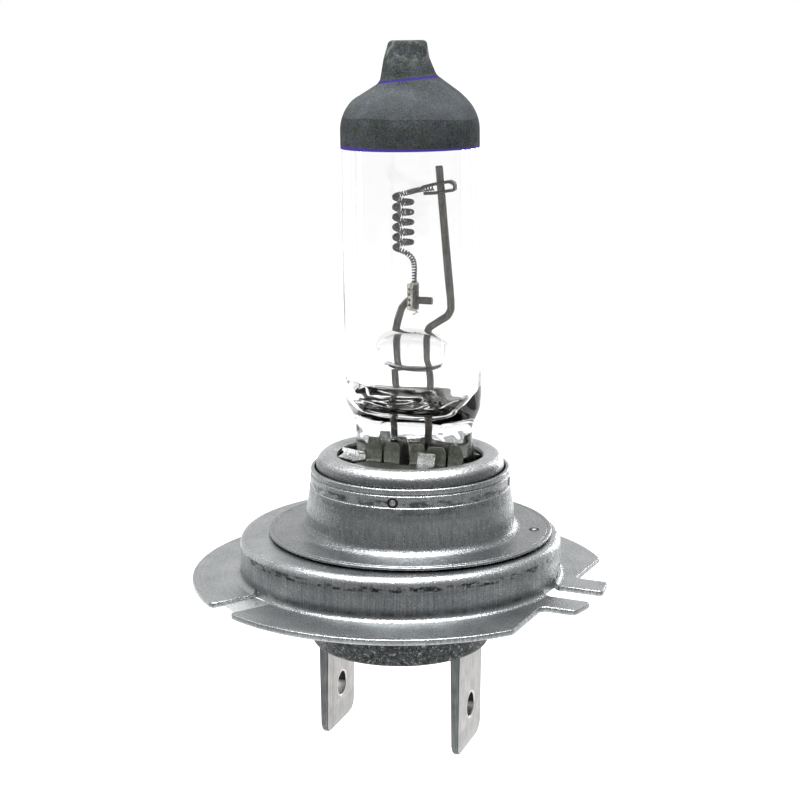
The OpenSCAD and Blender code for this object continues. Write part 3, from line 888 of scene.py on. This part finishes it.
def rippled(ring):
    """Presses shallow waves into the faces of a ring, as the jaws leave them in the pinch."""
    out, depth, front_seed, back_seed = [], 0.14, 3.0, 8.0
    for x, y, z in map(Vector, ring):
        wave = noise.noise(Vector((x * 1.3, z * 1.1, back_seed if y > 0 else front_seed)))
        on_face = abs(y) > 0.3
        out.append(Vector((x, y + copysign(depth * wave, y) if on_face else y, z)))
    return out


def wrinkled(point, depth):
    """Height waves in the fused floor of the cavity, running along the pinch."""
    wave = noise.noise(Vector((point[0] * 0.4, point[1] * 1.5, 7.0)))
    return point[0], point[1], point[2] + depth * wave


def glass_outside():
    """Rings from the pinch's foot over the pressed plate, the shoulder and the tube to the nib."""
    rings = []
    for rise, share in ((0, 0.92), (0.08, 0.97), (0.25, 1.0)):
        rings.append(pinch_ring(glass_low.z + rise, share))
    wave_foot, pinch_top, shoulder_top, steps = 5.6, 12.1, 16.4, 24
    for i in range(steps + 1):
        rings.append(rippled(pinch_ring(wave_foot + (pinch_top - wave_foot) * i / steps)))
    for i in range(1, steps + 1):
        z = pinch_top + (shoulder_top - pinch_top) * i / steps
        radius = tube_radius(z)
        bulge = 0.06 * sin(pi * smooth_step(12.5, 16.2, z))
        depth = 1.2 + (radius - 1.2) * smooth_step(11.9, 15.9, z) ** 0.7
        round_part = section_ring(z, radius + bulge, depth)
        rings.append(blended(rippled(pinch_ring(z)), round_part, smooth_step(11.9, 14.0, z)))
    rings += [round_ring(tube_radius(z), z) for z in (17, 18, 20, 23, 26, 29, 32, 34, 35)]
    return rings + [round_ring(r, z) for r, z in dome_profile()]


def glass_bore():
    """Rings from the cavity's wrinkled floor up the bore to the dome's inside."""
    rings, floor, mouth, steps = [], 14.3, 16.6, 24
    for i in range(steps + 1):
        z = floor + (mouth - floor) * (i / steps) ** 1.3
        half_x = 3.5 + (BORE_R - 3.5) * smooth_step(14.2, 15.2, z) ** 0.5
        half_y = 0.3 + (BORE_R - 0.3) * smooth_step(13.9, 16.4, z) ** 0.55
        wave = 0.12 * (1 - smooth_step(floor, 15.6, z))
        ring = section_ring(z, half_x, half_y, 2.5 - 0.5 * smooth_step(floor, 15.8, z), wave=wave)
        rings.append([wrinkled(p, 0.13 * (1 - smooth_step(14.6, 16.2, z))) for p in ring])
    rings += [section_ring(z, BORE_R, BORE_R) for z in (17.5, 20, 23, 26, 29, 32, 34.5)]
    vault = arc((0, TUBE_TOP), BORE_R, 0, 89, 14, squash=2.5 / BORE_R)
    return rings + [section_ring(z, r, r) for r, z in vault]


def glass_envelope():
    """The quartz as one skin outside and one round its cavity."""
    skin = joined(stacked(glass_outside()), inside_out(stacked(glass_bore())))
    build("glass_envelope", moved(skin, glass_matrix()), clear_quartz, "quartz", "glass_envelope", sharp=70,
          weighted=False)


glass_envelope()


def top_coat():
    """Paint skin over the dome and the nib."""
    thickness, gap = 0.06, 0.002
    foot, below_dome = coat_foot + 0.02, 34.8
    outside = [(TUBE_R + thickness, foot), (TUBE_R + thickness, below_dome), *dome_profile(thickness)]
    inside = [(TUBE_R + gap, foot), (TUBE_R + gap, below_dome), *dome_profile(gap + 0.001)]
    rings = [round_ring(r, z) for r, z in outside]
    rings += [round_ring(r, z) for r, z in reversed(inside)]
    skin = moved(stacked(rings, "joined"), glass_matrix())
    build("top_coat", skin, top_paint, "top_paint", "top_coat", sharp=50, weighted=False)


top_coat()


# ---- leads, bridge and filament ----

def in_lead_plane(corners, steps=8):
    """A route in the upright plane that holds both wires, from corners of x, z and radius."""
    return bent([(x, LEAD_Y, z, radius) for x, z, radius in corners], steps)


def lead_wires():
    """The long wire steps outwards and climbs past the filament, the short one ends below it."""
    long_route = in_lead_plane([
        (2.35, 9.6, 0), (2.47, 14.6, 3), (2.4, 16.4, 1.5), (2.1, 17.4, 2), (2.1, 19.4, 1.2),
        (2.3, 20.15, 0.6), (3.8, 21.15, 0.8), (4.08, 21.7, 0.7), (4.05, 22.5, 2), (3.1, 32.9, 0)])
    short_route = in_lead_plane([
        (-0.5, 9.6, 0), (-0.5, 15.6, 2), (-0.6, 17.2, 2), (-0.6, 19.2, 2), (-0.3, 20.6, 1.5),
        (0.0, 21.6, 0.9), (0.6, 22.3, 0.6), (2.6, 22.3, 0)])
    build("long_lead_wire", tube(long_route, WIRE_R, 24), molybdenum, "lead_metal", "long_lead_wire")
    build("short_lead_wire", tube(short_route, WIRE_R, 24), molybdenum, "lead_metal", "short_lead_wire")


lead_wires()


def glass_bridge():
    """Bead of glass rod melted round both wires: fullest in the middle, with blunt ends."""
    half, radius = (bridge_high.x - bridge_low.x) / 2, (bridge_high.z - bridge_low.z) / 2
    middle = (bridge_low + bridge_high) / 2
    steps, section = 40, [(0.01, -half)]
    for i in range(steps + 1):
        a = pi * (i / steps - 0.5)
        swell = abs(cos(a)) ** 0.42 * (1 - 0.14 * sin(a) ** 2)
        section.append((max(0.012, radius * swell), half * copysign(abs(sin(a)) ** 0.85, a)))
    section.append((0.01, half))
    matrix = Matrix.Translation(middle) @ turned(90, "Y")
    rod = moved(lathe(section, sides=96), matrix)
    build("glass_bridge", rod, bridge_quartz, "quartz", "glass_bridge", sharp=80, weighted=False)


glass_bridge()


def filament_route(coil_r, turns, low, high):
    """The strand's middle line: up the lower leg, round the coil and along the upper leg."""
    route = [(1.1, LEAD_Y, 23.2), (1.11, LEAD_Y, 24.0), (1.13, 0.33, 24.7), (1.14, 0.18, 25.3),
             (1.02, -0.08, 25.78), (0.7, -0.28, 26.1)]
    x, y, steps = 0.2, 0.3, round(turns * 24)
    for i in range(1, steps):
        a = radians(270 - 360 * turns * i / steps)
        route.append((x + coil_r * cos(a), y + coil_r * sin(a), low + (high - low) * i / steps))
    route += [(0.55, 0.86, 30.74), (1.1, 0.62, 30.92), (1.7, 0.42, 31.04), (2.3, LEAD_Y, 31.14),
              (2.7, LEAD_Y, 31.18)]
    return [Vector(p) for p in route]


def smoothed(line):
    """The line with its corners cut off, twice over."""
    for _ in range(2):
        softer = [line[0]]
        for a, b in zip(line, line[1:]):
            softer += [a.lerp(b, 0.25), a.lerp(b, 0.75)]
        line = softer + [line[-1]]
    return line


def wound_round(line, radius, pitch):
    """A helix whose middle line is the given one, with some samples a turn."""
    along, samples = lengths_along(line), 12
    count = int(along[-1] / pitch * samples)
    wire, across, k = [], Vector((1, 0, 0)), 0
    for i in range(count):
        s = along[-1] * i / count
        while along[k + 1] < s:
            k += 1
        point = line[k].lerp(line[k + 1], (s - along[k]) / (along[k + 1] - along[k]))
        heading = heading_at(line, k, ahead=2)
        across = (across - heading * across.dot(heading)).normalized()
        turn = 2 * pi * s / pitch
        wire.append(point + radius * (cos(turn) * across + sin(turn) * heading.cross(across)))
    return wire


def filament():
    """Fine wire coiled into a strand, and the strand coiled into the filament, with both legs."""
    strand_r, wire_r, pitch, coil_d = 0.17, 0.062, 0.23, 1.77
    coil_r = (coil_d - 2 * (strand_r + wire_r)) / 2
    line = smoothed(filament_route(coil_r, turns=5.5, low=26.31, high=30.64))
    wire = tube(wound_round(line, strand_r, pitch), wire_r, 6, 0)
    build("filament", wire, tungsten, "tungsten", "filament", weighted=False, sharp=80)


filament()


def upper_filament_clamp():
    """Hairpin strip round the top of the long lead, closed on the filament's upper leg."""
    route = in_lead_plane([(1.85, 31.24, 0), (2.5, 31.42, 0.8), (4.0, 31.72, 0.25), (4.4, 31.5, 0.25),
                           (4.38, 31.08, 0.2), (3.8, 30.98, 0.3), (2.9, 30.8, 0.6), (1.98, 30.74, 0)], 6)
    clamp = strip(route, (0, 1, 0), 1.0, 0.22, 0.1)
    build("upper_filament_clamp", clamp, clamp_metal, "lead_metal", "upper_filament_clamp")


upper_filament_clamp()


def folded(front_x, front_y, bend_x, bend_y, back_x, bend_r):
    """A level U round the end of the short lead, open to the left."""
    z, back_r = 22.6, 0.3
    return bent([(front_x, LEAD_Y - front_y, z, 0), (bend_x, LEAD_Y - bend_y, z, bend_r),
                 (back_x, LEAD_Y, z, back_r), (bend_x, LEAD_Y + bend_y, z, bend_r),
                 (front_x, LEAD_Y + front_y, z, 0)])


def lower_filament_clamp():
    """Strip folded round the end of the short lead, with a hooked foot, crimp dents and a back; the leaf
    carries painted highlight, the dents and the back painted shade.
    """
    leaf = strip(folded(0.66, 0.42, 1.25, 0.46, 1.38, 0.12), (0, 0, 1), 2.25, 0.1, 0.08)
    hook = in_lead_plane([(1.3, 21.7, 0), (1.34, 21.3, 0.12), (1.02, 21.16, 0)], 5)
    back = strip(folded(1.14, 0.53, 1.33, 0.5, 1.45, 0.15), (0, 0, 1), 2.0, 0.05, 0.3)
    section = [(0.005, 0.0, 0), (0.09, 0.03, 0.03), (0.13, -0.03, 0.02), (0.005, -0.03, 0)]
    dent = lathe(filleted(section, steps=3), sides=20)
    dents = []
    for k in range(4):
        place = Matrix.Translation((0.84, LEAD_Y - 0.49, 21.95 + 0.42 * k))
        dents.append(moved(dent, place @ turned(90, "X")))
    clamp = joined(leaf, strip(hook, (0, 1, 0), 0.7, 0.12, 0.08))
    # The dents and the folded back in the darker clamp metal: painted shade against the lit leaf.
    build("lower_filament_clamp_painted_shade", joined(*dents, back), clamp_metal, "lead_metal")
    build("lower_filament_clamp", clamp, clamp_metal_painted_highlight, "lead_metal", "lower_filament_clamp")


lower_filament_clamp()


# ---- insulator and terminals ----

def insulator():
    """Disc inside the ring with a boss below it, whose underside is sunk inside a rim."""
    disc_r, boss_r = insulator_high.x, 7.24
    low, ledge, top = insulator_low.z, -0.25, insulator_high.z
    section = filleted([(0.02, low + 0.35, 0), (boss_r - 0.9, low + 0.35, 0.15), (boss_r - 0.8, low, 0.12),
                        (boss_r, low, 0.3), (boss_r + 0.12, ledge - 0.3, 0.0), (boss_r + 0.5, ledge, 0.2),
                        (disc_r, ledge, 0.1), (disc_r, top, 0.15), (0.02, top, 0)], steps=5)
    build("insulator", lathe(section, sides=220), insulator_look, "insulator", "insulator")


insulator()


def blade(x, y, side):
    """Blade with rounded edges, a hole and a tip that tapers over its bevel."""
    top, half = insulator_low.z + 0.4, BLADE_W / 2
    corners = [(-half, top, 0), (-half, BLADE_TIP, 0.9), (half, BLADE_TIP, 0.9), (half, top, 0)]
    hole = arc((0, HOLE_Z), HOLE_R, 360, 0, 64)[1:]
    verts, faces = plate(anticlockwise(filleted(corners, steps=3)), -BLADE_T / 2, BLADE_T / 2, 0.09, [hole])
    shaped = []
    for across, up, out in verts:
        near_tip = max(0.0, 1 - (up - BLADE_TIP) / TIP_BEVEL)
        shaped.append((x + side * out * (1 - 0.45 * near_tip), y + across, up))
    return (shaped, faces) if side > 0 else inside_out((shaped, faces))


def terminal(name, look, side):
    """A blade, its neck, and the folded tab above the insulator."""
    low, high = box(name)
    face, inner = (high.x, low.x) if side > 0 else (low.x, high.x)
    x, y = face - side * BLADE_T / 2, -side * BLADE_STAGGER
    above, tab_x = insulator_high.z, inner + side * 0.3
    neck = strip([(x, y, BLADE_TIP + 8), (x, y, above + 0.1)], (0, 1, 0), 5.0, 0.7)
    tab = strip(bent([(x, y, above + 0.1, 0), (x, y, above + 0.32, 0.1), (tab_x, y, above + 0.32, 0.3),
                      (tab_x, y, high.z, 0)]), (0, 1, 0), 2.0, 0.6, 0.2)
    build(name, joined(blade(x, y, side), neck, tab), look, "blade_metal", name)


terminal("terminal_left", tin_left, -1)
terminal("terminal_right", tin_right, 1)

for node, look in (("foil_left", foil_metal), ("foil_right", foil_metal),
                   ("outer_lead_left", molybdenum), ("outer_lead_right", molybdenum)):
    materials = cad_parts[node].data.materials
    materials.clear()
    materials.append(look)


# ---- floor, light and camera ----

def plain(name, dark, light, **constants):
    """Nearly even grey."""
    look = Look(name, **constants)
    look.colour(look.mix(look.noise(0.02), (dark, dark, dark), (light, light, light)))
    return look.material


def stage_piece(name, part, look):
    mesh = mesh_of(name, part)
    mesh.materials.append(look)
    piece = added(name, mesh)
    return piece


def card(name, middle, spread, distance, low, high):
    """An upright curved card round the object, which only reflections see."""
    verts, steps = [], 24
    for i in range(steps + 1):
        a = radians(middle + spread * (2 * i / steps - 1))
        verts += [(distance * cos(a), distance * sin(a), z) for z in (low, high)]
    faces = [(2 * i, 2 * i + 2, 2 * i + 3, 2 * i + 1) for i in range(steps)]
    look = plain("dark_card", 0.2, 0.24, Roughness=1.0, Specular_IOR_Level=0.0)
    piece = stage_piece(name, (verts, faces), look)
    for ray in ("camera", "diffuse", "shadow", "transmission"):
        setattr(piece, f"visible_{ray}", False)


def studio():
    """A floor, the card, white surroundings and three lamps, which are in metres. Part of the floor's light is
    its own, so that it stays pale far from the lamps."""
    size, low = 4000, -45
    corners = [(-size, -size, low), (size, -size, low), (size, size, low), (-size, size, low)]
    look = plain("floor", 0.35, 0.38, Roughness=0.9, Emission_Color=(1, 1, 1, 1), Emission_Strength=0.66)
    stage_piece("floor", (corners, [(0, 1, 2, 3)]), look)
    card("front_card", middle=-71, spread=118, distance=105, low=low + 1, high=85)

    world = bpy.data.worlds.new("studio")
    bpy.context.scene.world = world
    world.use_nodes = True
    background = world.node_tree.nodes["Background"]
    background.inputs["Color"].default_value = (1.0, 1.0, 1.0, 1)
    background.inputs["Strength"].default_value = 1.0

    for name, place, target, width, height, power in (
            ("top_box", (0.012, -0.035, 0.3), (0, 0, 0.01), 0.2, 0.13, 2.5),
            ("left_box", (-0.3, -0.02, 0.14), (0, 0, 0.01), 0.06, 0.2, 0.5),
            ("right_strip", (0.057, 0.295, 0.02), (0, 0, 0.0), 0.03, 0.1, 0.16)):
        lamp = bpy.data.lights.new(name, "AREA")
        lamp.shape, lamp.size, lamp.size_y, lamp.energy = "RECTANGLE", width, height, power
        light = added(name, lamp)
        light.location = place
        light.rotation_mode = "QUATERNION"
        light.rotation_quaternion = (Vector(place) - Vector(target)).to_track_quat("Z", "Y")


studio()


def camera():
    """A view from the front right, a little above. Distances are in metres."""
    azimuth, pitch, roll = 19.05, 12.101, -0.169
    distance, height = 0.138002, 0.043756
    data = bpy.data.cameras.new("camera")
    data.lens, data.sensor_width = 79.289, 36
    data.clip_start, data.clip_end = 0.005, 10
    view = added("camera", data)
    place = turned(azimuth) @ Matrix.Translation((0, -distance, height))
    view.matrix_world = place @ turned(90 - pitch, "X") @ turned(roll)
    bpy.context.scene.camera = view


camera()
bpy.context.scene.view_settings.view_transform = "Standard"
